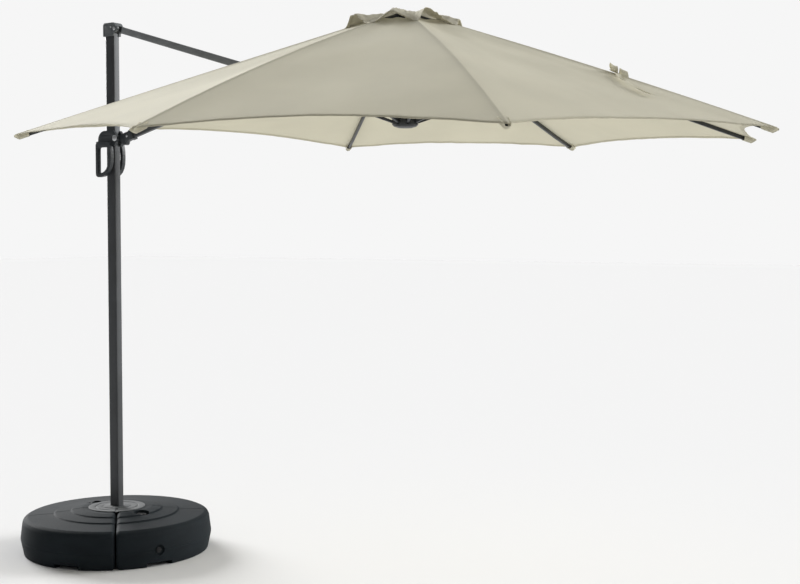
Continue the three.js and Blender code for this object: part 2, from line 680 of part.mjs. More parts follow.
function ventCap() {
  const around = 32;
  const rings = 3;
  const top = [new THREE.Vector3(0, 0, fabricOnRib(0, VENT.crown).z + VENT.lift)];
  for (let ring = 1; ring <= rings; ring += 1) {
    for (let i = 0; i < around; i += 1) {
      const index = Math.floor(i / 4);
      const share = (i % 4) / 4;
      const bow = 4 * share * (1 - share);
      const reach = ring / rings;
      const radius = reach * (VENT.radius - VENT.cut * bow);
      const point = fabricOnRib(index, radius).lerp(fabricOnRib((index + 1) % 8, radius), share);
      if (ring === 1) {
        point.z = fabricOnRib(0, VENT.crown).z - VENT.shoulder;
      }
      point.z += VENT.lift + VENT.arch * bow * reach * reach;
      top.push(point);
    }
  }
  const below = top.length;
  const faces = [];
  const at = (ring, i) => 1 + (ring - 1) * around + (i % around);
  for (let i = 0; i < around; i += 1) {
    faces.push(0, at(1, i), at(1, i + 1));
    faces.push(below, below + at(1, i + 1), below + at(1, i));
    for (let ring = 1; ring < rings; ring += 1) {
      const [a, b, c, d] = [at(ring, i), at(ring + 1, i), at(ring + 1, i + 1), at(ring, i + 1)];
      faces.push(a, b, c, a, c, d);
      faces.push(below + a, below + c, below + b, below + a, below + d, below + c);
    }
    const [a, b] = [at(rings, i), at(rings, i + 1)];
    faces.push(a, below + a, below + b, a, below + b, b);
  }
  const geometry = new THREE.BufferGeometry()
    .setFromPoints([...top, ...top.map((p) => p.clone().setZ(p.z - FABRIC))]);
  geometry.setIndex(faces);
  return flipInwards(geometry);
}

// A strap that stands in a loop on the first seam and trails down the panel beside it, towards the hem.
function tieStrap() {
  const seat = fabricOnRib(0, STRAP.at).z;
  const middle = new THREE.CatmullRomCurve3([
    [-16, 5], [-20, 18], [-10, 30], [4, 28], [8, 14], [-2, 5], [-60, 3], [-160, 1], [-330, -2],
  ].map(([along, above]) => new THREE.Vector3(along, above + STRAP.slope * along, 0)));
  const steps = 20;
  const left = [];
  const right = [];
  for (let i = 0; i <= steps; i += 1) {
    const share = STRAP.start + (1 - STRAP.start) * i / steps;
    const point = middle.getPoint(share);
    const tangent = middle.getTangent(share);
    left.push([point.x - tangent.y, point.y + tangent.x]);
    right.push([point.x + tangent.y, point.y - tangent.x]);
  }
  const ribbon = polygon([...left, ...right.reverse()]);
  return new THREE.ExtrudeGeometry(ribbon, { depth: STRAP.wide, bevelEnabled: false })
    .rotateX(Math.PI / 2)
    .translate(0, STRAP.wide / 2, 0)
    .rotateZ(Math.PI / 2 + STRAP.turn)
    .translate(STRAP.at, 0, seat + STRAP.lift);
}

function addCanopy() {
  const canopy = groupAt(HUB_X, 0, 0);
  for (let i = 0; i < 8; i += 1) {
    const cloth = i === ARM_INDEX ? cut(panel(i), rodSlot()) : panel(i);
    piece(canopy, `canopy_panel_${i + 1}`, cloth, look.fabric);
  }
  piece(canopy, 'vent_cap', ventCap(), look.fabric);
  piece(canopy, 'tie_strap', tieStrap(), look.fabric);
}

addBase();
addMast();
addTieRod();
addArm();
addSlider();
addHub();
addRunner();
addRibsAndStruts();
addCanopy();

export default umbrella;
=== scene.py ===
"""Looks for the cantilever patio umbrella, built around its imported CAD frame.

Metres, with +Z up and +X from the mast to the hub.
"""
import json
import math

import bmesh
import bpy
import numpy as np
from mathutils import Matrix, Vector, noise

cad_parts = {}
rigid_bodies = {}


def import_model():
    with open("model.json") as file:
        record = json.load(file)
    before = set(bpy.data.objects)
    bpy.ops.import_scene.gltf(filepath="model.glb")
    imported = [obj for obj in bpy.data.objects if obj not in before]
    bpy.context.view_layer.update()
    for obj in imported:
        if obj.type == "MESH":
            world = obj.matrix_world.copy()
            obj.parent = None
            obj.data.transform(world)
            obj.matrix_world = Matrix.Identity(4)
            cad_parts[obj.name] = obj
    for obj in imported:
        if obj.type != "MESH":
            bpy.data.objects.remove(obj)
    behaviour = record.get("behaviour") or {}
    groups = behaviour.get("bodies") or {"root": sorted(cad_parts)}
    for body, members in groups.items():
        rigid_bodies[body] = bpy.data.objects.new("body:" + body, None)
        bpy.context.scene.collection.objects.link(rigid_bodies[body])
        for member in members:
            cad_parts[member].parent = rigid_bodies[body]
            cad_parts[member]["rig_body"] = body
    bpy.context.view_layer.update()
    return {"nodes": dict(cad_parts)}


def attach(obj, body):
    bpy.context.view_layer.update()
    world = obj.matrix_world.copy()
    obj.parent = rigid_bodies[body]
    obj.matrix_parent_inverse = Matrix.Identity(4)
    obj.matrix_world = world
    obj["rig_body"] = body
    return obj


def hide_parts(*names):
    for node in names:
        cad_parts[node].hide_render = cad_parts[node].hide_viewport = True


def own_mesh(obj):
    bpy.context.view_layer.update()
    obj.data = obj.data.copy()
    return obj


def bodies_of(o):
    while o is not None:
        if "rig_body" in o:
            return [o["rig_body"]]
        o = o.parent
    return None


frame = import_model()

# ------------------------------------------------------------------ driving sizes, shared with the CAD
RIBS = 8
ARM_INDEX = 4
EIGHTH = math.pi / 4
HUB_X = 1.824
CANOPY_RADIUS = 1.665
PIVOT_RADIUS = 0.048
HUB_PIVOT_Z = 2.615
SLIDER_PIVOT_X = 0.042
SLIDER_PIVOT_Z = 2.150
RIB_SLOPE = 0.34
ARM_SLOPE = (HUB_PIVOT_Z - SLIDER_PIVOT_Z) / (HUB_X - PIVOT_RADIUS - SLIDER_PIVOT_X)
FABRIC_ABOVE_RIB = 0.014
HEM_CUT = 0.085
VENT_HOLE_RADIUS = 0.170
LEAN_SWING = 0.067
LEAN_PHASE = math.radians(57)
LEAN_START = 0.5
SADDLE_SWING = 0.0094
SADDLE_PHASE = math.radians(25)
SADDLE_LIFT = 0.0035
UP = Vector((0, 0, 1))


# ------------------------------------------------------------------ materials
def node_material(name, color, roughness, metallic=0.0):
    """A material, its nodes and links, and its Principled shader with the plain values set."""
    material = bpy.data.materials.new(name)
    material.use_nodes = True
    nodes = material.node_tree.nodes
    links = material.node_tree.links
    shader = nodes["Principled BSDF"]
    shader.inputs["Base Color"].default_value = (*color, 1)
    shader.inputs["Roughness"].default_value = roughness
    shader.inputs["Metallic"].default_value = metallic
    return material, nodes, links, shader


def add_noise(nodes, links, scale, detail=4.0, stretch=(1, 1, 1)):
    place = nodes.new("ShaderNodeTexCoord")
    mapping = nodes.new("ShaderNodeMapping")
    mapping.inputs["Scale"].default_value = stretch
    texture = nodes.new("ShaderNodeTexNoise")
    texture.inputs["Scale"].default_value = scale
    texture.inputs["Detail"].default_value = detail
    links.new(place.outputs["Object"], mapping.inputs["Vector"])
    links.new(mapping.outputs["Vector"], texture.inputs["Vector"])
    return texture


def add_bump(nodes, links, shader, heights, strength, distance):
    """Bumps chained one on another, so that several scales of relief add up."""
    previous = None
    for height, share in heights:
        bump = nodes.new("ShaderNodeBump")
        bump.inputs["Strength"].default_value = strength * share
        bump.inputs["Distance"].default_value = distance
        links.new(height, bump.inputs["Height"])
        if previous:
            links.new(previous.outputs["Normal"], bump.inputs["Normal"])
        previous = bump
    links.new(previous.outputs["Normal"], shader.inputs["Normal"])
    return previous


def vary_color(nodes, links, shader, texture, dark, light, low=0.35, high=0.65):
    ramp = nodes.new("ShaderNodeValToRGB")
    ramp.color_ramp.elements[0].position = low
    ramp.color_ramp.elements[0].color = (*dark, 1)
    ramp.color_ramp.elements[1].position = high
    ramp.color_ramp.elements[1].color = (*light, 1)
    links.new(texture.outputs["Fac"], ramp.inputs["Fac"])
    links.new(ramp.outputs["Color"], shader.inputs["Base Color"])
    return ramp


def vary_roughness(nodes, links, shader, texture, low, high):
    spread = nodes.new("ShaderNodeMapRange")
    spread.inputs["To Min"].default_value = low
    spread.inputs["To Max"].default_value = high
    links.new(texture.outputs["Fac"], spread.inputs["Value"])
    links.new(spread.outputs["Result"], shader.inputs["Roughness"])


def scaled(color, factor):
    return tuple(c * factor for c in color)


def weave_heights(nodes, links, threads_per_metre):
    """Two crossed sets of fine waves in plan, for the threads of a plain weave."""
    place = nodes.new("ShaderNodeTexCoord")
    waves = []
    for axis in ("X", "Y"):
        wave = nodes.new("ShaderNodeTexWave")
        wave.bands_direction = axis
        wave.inputs["Scale"].default_value = threads_per_metre
        wave.inputs["Distortion"].default_value = 0.6
        wave.inputs["Detail"].default_value = 1.0
        links.new(place.outputs["Object"], wave.inputs["Vector"])
        waves.append(wave.outputs["Fac"])
    return waves


def fabric_material(name, color, through_share=0.22):
    """Coated polyester: a plain weave, slubs and faint blotches, and light that comes through it."""
    material, nodes, links, shader = node_material(name, color, 0.86)
    shader.inputs["Sheen Weight"].default_value = 0.18
    shader.inputs["Sheen Roughness"].default_value = 0.5
    shader.inputs["Specular IOR Level"].default_value = 0.25
    blotch = add_noise(nodes, links, 3.2, 5.0)
    ramp = vary_color(nodes, links, shader, blotch, scaled(color, 0.965), scaled(color, 1.03))
    slub = add_noise(nodes, links, 260.0, 2.0)
    crease = add_noise(nodes, links, 14.0, 3.0)
    threads = weave_heights(nodes, links, 160.0)
    heights = [(crease.outputs["Fac"], 0.55), (slub.outputs["Fac"], 0.3)]
    heights += [(thread, 0.22) for thread in threads]
    bump = add_bump(nodes, links, shader, heights, 0.35, 0.0012)
    through = nodes.new("ShaderNodeBsdfTranslucent")
    links.new(ramp.outputs["Color"], through.inputs["Color"])
    links.new(bump.outputs["Normal"], through.inputs["Normal"])
    mix = nodes.new("ShaderNodeMixShader")
    mix.inputs["Fac"].default_value = through_share
    links.new(shader.outputs["BSDF"], mix.inputs[1])
    links.new(through.outputs["BSDF"], mix.inputs[2])
    links.new(mix.outputs["Shader"], nodes["Material Output"].inputs["Surface"])
    return material


def powder_coat(name, color, roughness, metallic=0.0):
    """Powder-coated metal: orange-peel relief and slightly uneven gloss."""
    material, nodes, links, shader = node_material(name, color, roughness, metallic)
    shader.inputs["Coat Weight"].default_value = 0.12
    shader.inputs["Coat Roughness"].default_value = 0.35
    peel = add_noise(nodes, links, 420.0, 2.0)
    dust = add_noise(nodes, links, 9.0, 6.0)
    vary_color(nodes, links, shader, dust, scaled(color, 0.9), scaled(color, 1.14))
    vary_roughness(nodes, links, shader, dust, roughness - 0.05, roughness + 0.08)
    add_bump(nodes, links, shader, [(peel.outputs["Fac"], 1.0)], 0.22, 0.0004)
    return material


def moulded_plastic(name, color, roughness, grain=700.0, relief=0.35, gloss=0.4):
    """Moulded plastic: a fine leathery grain, faint flow marks and paler rubbed patches."""
    material, nodes, links, shader = node_material(name, color, roughness)
    shader.inputs["Specular IOR Level"].default_value = gloss
    flow = add_noise(nodes, links, 5.0, 7.0, (1, 1, 2.5))
    vary_color(nodes, links, shader, flow, scaled(color, 0.88), scaled(color, 1.16))
    vary_roughness(nodes, links, shader, flow, roughness - 0.06, roughness + 0.08)
    cells = nodes.new("ShaderNodeTexVoronoi")
    cells.inputs["Scale"].default_value = grain
    place = nodes.new("ShaderNodeTexCoord")
    links.new(place.outputs["Object"], cells.inputs["Vector"])
    ripple = add_noise(nodes, links, 26.0, 3.0)
    heights = [(ripple.outputs["Fac"], 0.4), (cells.outputs["Distance"], 1.0)]
    add_bump(nodes, links, shader, heights, relief, 0.0004)
    return material


def plated_steel(name):
    """Zinc-plated steel with fine turning marks."""
    material, nodes, links, shader = node_material(name, (0.62, 0.63, 0.64), 0.28, 1.0)
    marks = add_noise(nodes, links, 900.0, 2.0, (1, 0.05, 1))
    vary_roughness(nodes, links, shader, marks, 0.22, 0.4)
    add_bump(nodes, links, shader, [(marks.outputs["Fac"], 1.0)], 0.15, 0.0002)
    return material


LOOK = {
    "fabric": fabric_material("canopy_fabric", (0.585, 0.555, 0.425)),
    # Painted shade: the vent flaps' cloth is the canopy's fabric, painted darker and letting less light
    # through, for the shade under the raised flaps.
    "shade_darkened_fabric": fabric_material("vent_fabric_painted_shade", (0.50, 0.47, 0.36), 0.06),
    "anthracite": powder_coat("anthracite_powder_coat", (0.040, 0.043, 0.046), 0.42, 0.5),
    # Painted light: the tie rod has the same anthracite powder coat as the arm and mast, painted paler for
    # the light on it.
    "painted_light_anthracite": powder_coat("rod_powder_coat_painted_light", (0.20, 0.21, 0.215), 0.40, 0.4),
    "painted_steel": powder_coat("black_steel", (0.03, 0.032, 0.035), 0.5),
    "tank_plastic": moulded_plastic("tank_plastic", (0.012, 0.016, 0.019), 0.78, 420.0, 0.5, 0.10),
    "cover_plastic": moulded_plastic("cover_plastic", (0.085, 0.090, 0.094), 0.70, gloss=0.25),
    "grey_plastic": moulded_plastic("grey_plastic", (0.026, 0.030, 0.033), 0.38),
    # Painted light: the mast head is the slider's grey plastic, painted paler for the light falling on its
    # top.
    "painted_light_grey_plastic": moulded_plastic("painted_light_grey_plastic", (0.10, 0.11, 0.115), 0.4),
    # Painted shade: the filler and drain caps are the black plastic, painted darker for the shade in their
    # recesses.
    "shade_darkened_black_plastic": moulded_plastic("shade_darkened_black_plastic", (0.007, 0.008, 0.009), 0.7),
    "black_plastic": moulded_plastic("black_plastic", (0.012, 0.014, 0.015), 0.42),
    "steel": plated_steel("zinc_steel"),
}
SLOT_OF = {
    "painted_light_anthracite": "anthracite",
    "painted_light_grey_plastic": "grey_plastic",
    "shade_darkened_fabric": "fabric",
    "shade_darkened_black_plastic": "black_plastic",
}


# ------------------------------------------------------------------ mesh helpers
def new_object(name, mesh, look):
    obj = bpy.data.objects.new(name, mesh)
    bpy.context.collection.objects.link(obj)
    mesh.materials.clear()
    mesh.materials.append(LOOK[look])
    return obj


def mesh_object(name, points, faces, look):
    """A smooth-shaded object from its points and faces."""
    mesh = bpy.data.meshes.new(name)
    mesh.from_pydata([tuple(p) for p in points], [], faces)
    mesh.update()
    mesh.polygons.foreach_set("use_smooth", [True] * len(mesh.polygons))
    return new_object(name, mesh, look)


def grid_faces(rows, columns, start=0):
    """The quads of a grid of points, row after row, from the point numbered start."""
    faces = []
    for r in range(rows - 1):
        for c in range(columns - 1):
            corner = start + r * columns + c
            faces.append((corner, corner + columns, corner + columns + 1, corner + 1))
    return faces


def applied(obj):
    """The object with its modifiers made permanent."""
    depsgraph = bpy.context.evaluated_depsgraph_get()
    mesh = bpy.data.meshes.new_from_object(obj.evaluated_get(depsgraph))
    obj.modifiers.clear()
    obj.data = mesh
    return obj


def soften(obj, width, segments=2, sharp=28.0):
    """Rounds the edges that are sharper than an angle in degrees, and shades the rest smoothly."""
    bevel = obj.modifiers.new("soften", "BEVEL")
    bevel.limit_method = "ANGLE"
    bevel.angle_limit = math.radians(sharp)
    bevel.width = width
    bevel.segments = segments
    bevel.use_clamp_overlap = True
    applied(obj)
    return shade(obj)


def shade(obj, angle=32.0):
    obj.data.polygons.foreach_set("use_smooth", [True] * len(obj.data.polygons))
    obj.data.set_sharp_from_angle(angle=math.radians(angle))
    return obj


def tidy_mesh(mesh, flat=1.0):
    """Joins doubled points and the triangles that lie in one plane."""
    work = bmesh.new()
    work.from_mesh(mesh)
    bmesh.ops.remove_doubles(work, verts=work.verts, dist=2e-5)
    bmesh.ops.dissolve_limit(work, angle_limit=math.radians(flat), verts=work.verts, edges=work.edges)
    bmesh.ops.recalc_face_normals(work, faces=work.faces)
    work.to_mesh(mesh)
    work.free()
    mesh.update()


def face_outwards(mesh):
    """Turns a closed mesh's faces outwards."""
    work = bmesh.new()
    work.from_mesh(mesh)
    bmesh.ops.recalc_face_normals(work, faces=work.faces)
    if work.calc_volume(signed=True) < 0:
        bmesh.ops.reverse_faces(work, faces=work.faces)
    work.to_mesh(mesh)
    work.free()


def seat_at(middle, direction):
    """The matrix that puts a shape's own Z along a direction, at a middle."""
    turn = Vector(direction).to_track_quat("Z", "Y").to_matrix().to_4x4()
    return Matrix.Translation(Vector(middle)) @ turn


def tool_box(x, y, z):
    """A cutting box between pairs of x, y and z."""
    work = bmesh.new()
    bmesh.ops.create_cube(work, size=1.0)
    size = Vector((x[1] - x[0], y[1] - y[0], z[1] - z[0]))
    middle = Vector((x[0] + x[1], y[0] + y[1], z[0] + z[1])) / 2
    work.transform(Matrix.Translation(middle) @ Matrix.Diagonal(size).to_4x4())
    return work


def tool_round(radius, depth, middle, direction=(0, 0, 1), sides=48, far_radius=None):
    """A cutting cylinder or cone, about its middle and along a direction."""
    work = bmesh.new()
    far = radius if far_radius is None else far_radius
    bmesh.ops.create_cone(work, cap_ends=True, segments=sides, radius1=radius, radius2=far, depth=depth)
    work.transform(seat_at(middle, direction))
    return work


def tool_prism(outline, z0, z1, turn=0.0):
    """A cutting prism from an outline in plan, turned about the mast's axis."""
    work = bmesh.new()
    low = [work.verts.new((x, y, z0)) for x, y in outline]
    face = work.faces.new(low)
    raised = bmesh.ops.extrude_face_region(work, geom=[face])
    top = [g for g in raised["geom"] if isinstance(g, bmesh.types.BMVert)]
    bmesh.ops.translate(work, verts=top, vec=(0, 0, z1 - z0))
    bmesh.ops.recalc_face_normals(work, faces=work.faces)
    work.transform(Matrix.Rotation(turn, 4, "Z"))
    return work


def carve(obj, tools):
    """Cuts bmesh tools out of an object, one after another."""
    for work in tools:
        mesh = bpy.data.meshes.new("tool")
        work.to_mesh(mesh)
        work.free()
        face_outwards(mesh)
        tool = bpy.data.objects.new("tool", mesh)
        bpy.context.collection.objects.link(tool)
        cutting = obj.modifiers.new("carve", "BOOLEAN")
        cutting.operation = "DIFFERENCE"
        cutting.solver = "EXACT"
        cutting.object = tool
        applied(obj)
        bpy.data.objects.remove(tool)
    return obj


def fit(obj, body, look, *nodes):
    """Puts a finished piece on its body, and has it stand for CAD nodes."""
    look = SLOT_OF.get(look, look)
    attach(obj, body)
    if nodes:
        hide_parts(*nodes)
    return obj


def body_of(node):
    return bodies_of(frame["nodes"][node])[0]


def refined(node, look, width=0.0012, segments=2, tools=()):
    """A CAD piece again, cut by the tools and with softened edges, standing for its node."""
    mesh = frame["nodes"][node].data.copy()
    tidy_mesh(mesh)
    obj = new_object(f"{node}_finished", mesh, look)
    if tools:
        carve(obj, tools)
        tidy_mesh(obj.data)
    soften(obj, width, segments)
    return fit(obj, body_of(node), look, node)


def polar(radius, turn, height=0.0):
    return Vector((radius * math.cos(turn), radius * math.sin(turn), height))


def rounded_outline(points, radius, steps=5):
    """A closed outline with each corner turned into an arc of about this radius."""
    result = []
    count = len(points)
    for i in range(count):
        corner = Vector(points[i])
        back = Vector(points[i - 1]) - corner
        ahead = Vector(points[(i + 1) % count]) - corner
        reach = min(radius, back.length * 0.45, ahead.length * 0.45)
        start = corner + back.normalized() * reach
        end = corner + ahead.normalized() * reach
        for s in range(steps + 1):
            t = s / steps
            result.append(start * (1 - t) ** 2 + corner * 2 * t * (1 - t) + end * t * t)
    return result


def lathe(name, outline, look, sides=96):
    """A turned solid about a vertical axis, from a closed outline of radius and height."""
    points = []
    faces = []
    count = len(outline)
    for s in range(sides):
        turn = 2 * math.pi * s / sides
        for radius, height in outline:
            points.append(polar(radius, turn, height))
        for p in range(count):
            q = (p + 1) % count
            other = (s + 1) % sides
            faces.append((s * count + p, other * count + p, other * count + q, s * count + q))
    obj = mesh_object(name, points, faces, look)
    face_outwards(obj.data)
    return shade(obj, 40.0)


# ------------------------------------------------------------------ base
TANK_OUTLINE = [
    (0.100, 0.012), (0.430, 0.012), (0.434, 0.0), (0.473, 0.0), (0.490, 0.081), (0.4885, 0.083),
    (0.4885, 0.086), (0.490, 0.088), (0.480, 0.166), (0.472, 0.182), (0.454, 0.191), (0.322, 0.198),
    (0.316, 0.204), (0.236, 0.210), (0.230, 0.216), (0.180, 0.222), (0.100, 0.222),
]
TANK_MIDDLE = (0.295, 0.110)
TANK_HALF_WIDE = 0.19
TANK_HALF_TALL = 0.11
TANK_ROUND = 0.005
SEAM_HALF_GAP = 0.0030
SEAM_ROUND = 0.020
FILLER_AT = 0.200
FILLER_TURN = math.radians(-6)
FILLER_FLOOR = 0.202
DRAIN_TURN = math.radians(-19)
DRAIN_Z = 0.084
DRAIN_MOUTH = 0.500
DRAIN_SEAT = 0.4785
NOTCH_TURNS = (math.radians(-18), math.radians(104))


def shrunk(place, inset):
    """A point of the tank's outline, drawn in towards the middle of its section by about the inset."""
    radius = TANK_MIDDLE[0] + (place[0] - TANK_MIDDLE[0]) * (1 - inset / TANK_HALF_WIDE)
    height = TANK_MIDDLE[1] + (place[1] - TANK_MIDDLE[1]) * (1 - inset / TANK_HALF_TALL)
    return radius, height


def tank_columns():
    """The steps across a tank: distance and inset along a rounded seam edge, and shares of the middle."""
    edge = [(SEAM_ROUND * (1 - math.cos(t)), SEAM_ROUND * (1 - math.sin(t)))
            for t in np.linspace(0, math.pi / 2, 7)]
    middle = list(np.linspace(-1, 1, 65))[1:-1]
    return edge, middle


def tank_body(name, azimuth):
    """A half of the domed ring, with rounded edges along its two seams."""
    outline = rounded_outline(TANK_OUTLINE, TANK_ROUND, 4)
    edge, middle = tank_columns()
    points = []
    for side, steps in ((-1, edge), (0, middle), (1, edge[::-1])):
        for step in steps:
            for place in outline:
                radius, height = shrunk(place, step[1]) if side else place
                reach = step[0] if side else SEAM_ROUND
                full = math.pi / 2 - math.asin((SEAM_HALF_GAP + reach) / radius)
                points.append(polar(radius, azimuth + EIGHTH + (side or step) * full, height))
    count = len(outline)
    columns = len(points) // count
    faces = []
    for c in range(columns - 1):
        for p in range(count):
            q = (p + 1) % count
            faces.append((c * count + p, c * count + q, (c + 1) * count + q, (c + 1) * count + p))
    faces.append(tuple(range(count)))
    faces.append(tuple(range((columns - 1) * count, columns * count)))
    obj = mesh_object(name, points, faces, "tank_plastic")
    face_outwards(obj.data)
    return obj


def tank_tools(azimuth):
    """What is cut from a tank: the recesses of its filler and drain, and two lifting notches."""
    filler = polar(FILLER_AT, azimuth + FILLER_TURN, FILLER_FLOOR + 0.025)
    outwards = polar(1, azimuth + DRAIN_TURN)
    drain = polar(DRAIN_MOUTH, azimuth + DRAIN_TURN, DRAIN_Z)
    notch = [(0.425, -0.060), (0.520, -0.080), (0.520, 0.080), (0.425, 0.060)]
    tools = [
        tool_round(0.040, 0.050, filler, far_radius=0.043),
        tool_round(0.0225, 0.060, filler - Vector((0, 0, 0.03))),
        tool_round(0.027, 0.044, drain, outwards, far_radius=0.030),
        tool_round(0.0115, 0.100, drain - outwards * 0.04, outwards),
    ]
    return tools + [tool_prism(notch, -0.005, 0.021, azimuth + turn) for turn in NOTCH_TURNS]


def joint_line(name, azimuth):
    """A raised bead over the line where a tank's mould closes, following its domed top."""
    turn = azimuth + EIGHTH
    top = [p for p in rounded_outline(TANK_OUTLINE, TANK_ROUND, 4) if p[1] > 0.100]
    wide = 0.0045
    rows = []
    for radius, height in top:
        rows.append([(radius, -wide, height - 0.0006), (radius, -wide * 0.4, height + 0.0009),
                     (radius, wide * 0.4, height + 0.0009), (radius, wide, height - 0.0006)])
    points = [Matrix.Rotation(turn, 4, "Z") @ Vector(p) for row in rows for p in row]
    return mesh_object(name, points, grid_faces(len(rows), 4), "tank_plastic")


def add_tank(index):
    azimuth = index * math.pi
    obj = tank_body(f"tank_body_{index + 1}", azimuth)
    carve(obj, tank_tools(azimuth))
    join_into(obj, joint_line("joint_line", azimuth))
    shade(obj, 34.0)
    fit(obj, "base", "tank_plastic", f"tank_{index + 1}")


def knob(name, middle, direction, radius, depth, node):
    """A screw cap: a round of fine grip ridges, with a bar across its face."""
    sides = 72
    work = bmesh.new()
    rings = [(0.0, 1.0), (0.75, 1.0), (0.93, 0.96), (1.0, 0.86), (1.0, 0.0)]
    seat = seat_at(middle, direction)
    previous = None
    for height, share in rings:
        ring = []
        for s in range(sides):
            ridge = 0.0006 if s % 3 and height < 0.9 else 0.0
            r = radius * share - ridge
            angle = 2 * math.pi * s / sides
            ring.append(work.verts.new(seat @ polar(r, angle, height * depth)))
            if share == 0.0:
                break
        if previous and len(ring) == sides:
            for s in range(sides):
                t = (s + 1) % sides
                work.faces.new((previous[s], previous[t], ring[t], ring[s]))
        elif previous:
            for s in range(sides):
                work.faces.new((previous[s], previous[(s + 1) % sides], ring[0]))
        previous = ring
    long = radius * 0.78
    wide = radius * 0.14
    bar = tool_box((-long, long), (-wide, wide), (depth * 0.8, depth * 1.45))
    bar_mesh = bpy.data.meshes.new("bar")
    bar.to_mesh(bar_mesh)
    bar.free()
    bar_mesh.transform(seat)
    work.from_mesh(bar_mesh)
    mesh = bpy.data.meshes.new(name)
    work.to_mesh(mesh)
    work.free()
    # The cap is painted near black, for the shade in its recess.
    obj = new_object(name, mesh, "shade_darkened_black_plastic")
    soften(obj, 0.0007, 2, 40.0)
    return fit(obj, "base", "shade_darkened_black_plastic", node)


def cover_disc():
    """The grey disc round the turntable, with a sunk ring and a slot over the front seam."""
    outline = [
        (0.0995, 0.205), (0.0995, 0.2223), (0.146, 0.2223), (0.146, 0.2245), (0.144, 0.226), (0.112, 0.226),
        (0.110, 0.2235), (0.106, 0.2235), (0.104, 0.226), (0.0709, 0.226), (0.0709, 0.205),
    ]
    obj = lathe("cover_disc", rounded_outline(outline, 0.0012, 3), "cover_plastic", 128)
    slot = tool_box((0.078, 0.160), (-0.008, 0.008), (0.2226, 0.240))
    slot.transform(Matrix.Rotation(-EIGHTH, 4, "Z"))
    carve(obj, [slot])
    shade(obj, 40.0)
    return fit(obj, "base", "cover_plastic", "base_cover")


def add_base():
    refined("cross_frame", "painted_steel", 0.0010)
    for index in range(2):
        azimuth = index * math.pi
        add_tank(index)
        filler = polar(FILLER_AT, azimuth + FILLER_TURN, FILLER_FLOOR + 0.0005)
        knob(f"filler_knob_{index + 1}", filler, (0, 0, 1), 0.026, 0.007, f"filler_cap_{index + 1}")
        outwards = polar(1, azimuth + DRAIN_TURN)
        drain = polar(DRAIN_SEAT, azimuth + DRAIN_TURN, DRAIN_Z)
        knob(f"drain_knob_{index + 1}", drain, outwards, 0.015, 0.004, f"drain_plug_{index + 1}")
    cover_disc()


# ------------------------------------------------------------------ mast, tie rod and arm
HEAD_HALF = 0.028


def head_tools():
    """Moulded relief on each cheek of the head: a sunk frame line round a flat field."""
    tools = []
    for side in (-1, 1):
        y = sorted((side * (HEAD_HALF - 0.0016), side * (HEAD_HALF + 0.004)))
        tools.append(tool_box((-0.030, -0.0275), y, (2.684, 2.732)))
        tools.append(tool_box((0.0255, 0.028), y, (2.700, 2.732)))
        tools.append(tool_box((-0.029, 0.027), y, (2.7305, 2.733)))
        tools.append(tool_box((-0.029, 0.027), y, (2.684, 2.6865)))
    return tools


def screw(name, body, middle, direction, radius):
    """A small domed screw with a cross recess."""
    outline = [(0.0, -0.0015), (radius, -0.0015), (radius, 0.0005), (radius * 0.7, 0.0016), (0.0, 0.0020)]
    sides = 20
    count = len(outline)
    points = []
    faces = []
    for s in range(sides):
        angle = 2 * math.pi * s / sides
        other = (s + 1) % sides
        for r, h in outline:
            points.append(polar(max(r, 1e-5), angle, h))
        for p in range(count - 1):
            faces.append((s * count + p, other * count + p, other * count + p + 1, s * count + p + 1))
    obj = mesh_object(name, points, faces, "steel")
    arm = radius * 0.55
    slot_half = radius * 0.11
    tools = [
        tool_box((-arm, arm), (-slot_half, slot_half), (0.0008, 0.004)),
        tool_box((-slot_half, slot_half), (-arm, arm), (0.0008, 0.004)),
    ]
    tidy_mesh(obj.data, 0.1)
    carve(obj, tools)
    obj.data.transform(seat_at(middle, direction))
    shade(obj, 40.0)
    return fit(obj, body, "steel")


def add_mast():
    refined("turntable", "cover_plastic", 0.0018, 3)
    refined("mast", "anthracite", 0.0004, 1)
    # The head's plastic is painted paler, for the light on its top.
    refined("mast_head", "painted_light_grey_plastic", 0.0022, 3, head_tools())
    refined("head_pin", "steel", 0.0010, 2)
    for side in (-1, 1):
        screw(f"head_screw_{'right' if side < 0 else 'left'}", "mast",
              (0.018, side * (HEAD_HALF + 0.0006), 2.722), (0, side, 0), 0.0042)


def add_rod_and_arm():
    # The rod's coat is painted paler, for the light on it.
    refined("tie_rod", "painted_light_anthracite", 0.0004, 1)
    for node in ("tie_rod_upper_end", "tie_rod_lower_end"):
        refined(node, "black_plastic", 0.0015, 3)
    refined("arm", "anthracite", 0.0004, 1)
    refined("arm_root", "grey_plastic", 0.0022, 3)
    for side in (-1, 1):
        along = Vector((math.cos(math.atan(ARM_SLOPE)), 0, math.sin(math.atan(ARM_SLOPE))))
        seat = Vector((SLIDER_PIVOT_X, side * 0.0150, SLIDER_PIVOT_Z)) + along * 0.072 - UP * 0.010
        screw(f"root_screw_{'right' if side < 0 else 'left'}", "arm", seat, (0, side, 0), 0.0062)
    refined("arm_bracket", "black_plastic", 0.0018, 3)
    refined("arm_tip", "black_plastic", 0.0012, 2)
    refined("mid_pin", "steel", 0.0010, 2)


# ------------------------------------------------------------------ slider, grips and lever
def grip_tools(side):
    """Finger grooves across the bow of a grip, on both of its faces."""
    tools = []
    inner = 0.0313
    outer = 0.0533
    cut = 0.0011
    for groove in range(9):
        z = 1.988 + groove * 0.0105
        for y in (inner, outer):
            low, high = sorted((side * (y - cut), side * (y + cut)))
            tools.append(tool_box((-0.004, 0.044), (low, high), (z, z + 0.0035)))
    return tools


